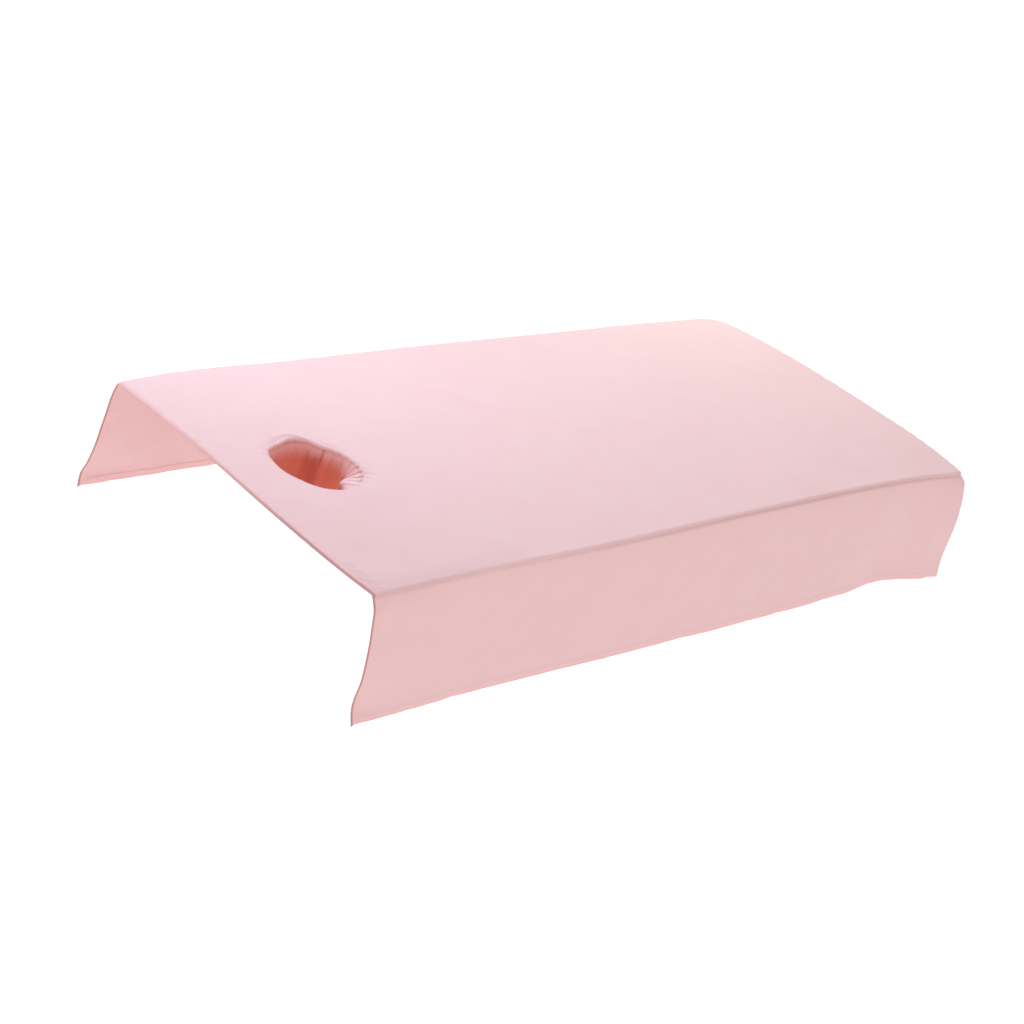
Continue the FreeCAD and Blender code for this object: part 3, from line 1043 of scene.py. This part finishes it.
def build_drop(name):
    start, end = EDGES[name]["span"]
    s = np.unique(np.concatenate([
        start + FINE, spaced(start + FINE[-1], end - FINE[-1], 8 * MM), end - FINE,
    ]).round(7))
    d = np.concatenate([
        np.array([0, 0.5, 1, 1.5, 2, 3, 4.5, 6.5]) * MM, spaced(9 * MM, DROP_LENGTH - FINE[-1], 5 * MM),
        (DROP_LENGTH - FINE[:-1])[::-1],
    ])
    along, depth = np.meshgrid(s, d)
    points = drop(name, along, depth).reshape(-1, 3)
    thickness, layers = (a.ravel() for a in drop_cloth(name, along, depth))
    # painted shade along the seam's groove, and a dark line down the side drops' head-end edges, which turn
    # from the light
    shade = 0.8 if name == "foot" else seam_shade(along)
    painted_shade = 0.44 * shade * step(9 * MM, 0, depth)
    if name != "foot":
        painted_shade = np.maximum(painted_shade, step(4.6 * MM, 2.6 * MM, along - start))
    quads = grid_faces(np.arange(len(points)).reshape(along.shape))
    flip = name != "left"
    if flip:
        quads = quads[:, ::-1]
    piece = cloth_object(f"{name}_drop_cloth", points, quads, thickness, layers, painted_shade.ravel())
    body = f"{name}_drop"
    drop_cloths[name] = finish_piece(piece, COTTON, [f"{name}_drop_panel"], body)

    def shape(u, v):
        return drop(name, u, v)

    def cloth(u, v):
        return drop_cloth(name, u, v)

    line = np.linspace(start + END_INSET, end - END_INSET, 1200)
    drop_threads[name] = [stitched(
        f"{name}_drop_hem_stitches",
        stitch_rows(shape, cloth, line, np.full_like(line, DROP_LENGTH - HEM_LINE), flip),
        f"{name}_drop_hem_thread", body,
    )]
    line = np.linspace(10 * MM, DROP_LENGTH - HEM - 2 * MM, 240)
    for thread, at_s in zip(END_THREADS[name], (start + HEM_LINE, end - HEM_LINE)):
        drop_threads[name].append(stitched(
            thread.replace("thread", "stitches"),
            stitch_rows(shape, cloth, np.full_like(line, at_s), line, flip),
            thread, body,
        ))


for name in EDGES:
    build_drop(name)

# --- each drop's span, looked up and not used ---

for name, piece in drop_cloths.items():
    start, end = EDGES[name]["span"]

# --- the floor, the light and the camera ---

FLOOR_Z = -2.2  # far enough below for the cover's shadow to fade out


def build_floor():
    count = 24
    line = np.linspace(-150, 150, count)
    x, y = np.meshgrid(line, line)
    points = np.stack([x, y, np.full_like(x, FLOOR_Z)], -1).reshape(-1, 3)
    floor = mesh_object("studio_floor", points, grid_faces(np.arange(count * count).reshape(count, count)))
    material, tree, shader = new_material("pale_floor", 0.9)
    grain = pattern(tree, "Noise", Scale=3.0, Detail=3.0)
    colour = colour_mix(tree, grain.outputs["Fac"], (0.97, 0.97, 0.97), (0.985, 0.985, 0.985))
    tree.links.new(colour, shader.inputs["Base Color"])
    shader.inputs["Emission Color"].default_value = (1.0, 0.975, 0.95, 1.0)
    shader.inputs["Emission Strength"].default_value = 0.35
    floor.data.materials.append(material)


def aimed(location, target):
    back = np.array(location, float) - np.array(target, float)
    back /= np.linalg.norm(back)
    right = np.cross([0, 0, 1.0], back)
    right /= np.linalg.norm(right)
    up = np.cross(back, right)
    pose = np.eye(4)
    pose[:3, :3] = np.stack([right, up, back], 1)
    pose[:3, 3] = location
    return Matrix(pose.tolist())


def area_light(name, location, target, size, power, colour):
    light = bpy.data.lights.new(name, "AREA")
    light.shape = "DISK"
    light.size = size
    light.energy = power
    light.color = colour
    obj = bpy.data.objects.new(name, light)
    bpy.context.scene.collection.objects.link(obj)
    obj.matrix_world = aimed(location, target)
    obj.visible_camera = False


def sun_light(name, direction, strength, softness, colour):
    light = bpy.data.lights.new(name, "SUN")
    light.energy = strength
    light.angle = math.radians(softness)
    light.color = colour
    obj = bpy.data.objects.new(name, light)
    bpy.context.scene.collection.objects.link(obj)
    obj.matrix_world = aimed(direction, (0, 0, 0))


def build_light():
    world = bpy.data.worlds.new("studio")
    bpy.context.scene.world = world
    world.use_nodes = True
    background = world.node_tree.nodes["Background"]
    background.inputs["Color"].default_value = (1.0, 0.97, 0.965, 1.0)
    background.inputs["Strength"].default_value = 0.735
    sun_light("overhead", (-0.45, 0.35, 1.0), 0.46, 75, (0.36, 0.57, 1.0))
    area_light("ceiling", (-0.45, 0.6, 0.9), (-0.45, 0.5, 0), 0.8, 2.7, (0.70, 0.78, 1.0))
    area_light("far_head_window", (-0.9, 1.0, 0.9), (-0.6, 0.3, 0), 0.9, 6, (0.60, 0.80, 1.0))
    area_light("far_foot_window", (0.95, 1.0, 0.9), (0.7, 0.3, 0), 0.9, 8, (0.82, 1.0, 0.92))
    area_light("camera_side", (-1.0, -2.8, 0.8), (0, 0, -0.1), 1.6, 4, (1.0, 0.92, 0.86))


def build_camera():
    """Looks from the head end's right side, a little above, rolled."""
    azimuth, elevation, roll = (math.radians(a) for a in (-52.408, 25.638, 18.936))
    distance, moved_left, moved_down = 5.092, 0.144, 0.174
    back = np.array([
        math.sin(azimuth) * math.cos(elevation),
        -math.cos(azimuth) * math.cos(elevation),
        math.sin(elevation),
    ])
    right = np.cross([0, 0, 1.0], back)
    right /= np.linalg.norm(right)
    up = np.cross(back, right)
    right, up = (
        math.cos(roll) * right + math.sin(roll) * up,
        math.cos(roll) * up - math.sin(roll) * right,
    )
    pose = np.eye(4)
    pose[:3, :3] = np.stack([right, up, back], 1)
    middle = np.array([0, 0, CROWN_BASE])
    pose[:3, 3] = middle + back * distance - right * moved_left - up * moved_down
    lens = bpy.data.cameras.new("camera")
    lens.lens = 83.0
    lens.sensor_width = 36.0
    lens.clip_end = 500.0
    camera = bpy.data.objects.new("camera", lens)
    bpy.context.scene.collection.objects.link(camera)
    camera.matrix_world = Matrix(pose.tolist())
    bpy.context.scene.camera = camera


build_floor()
build_light()
build_camera()
bpy.context.scene.view_settings.view_transform = "Standard"
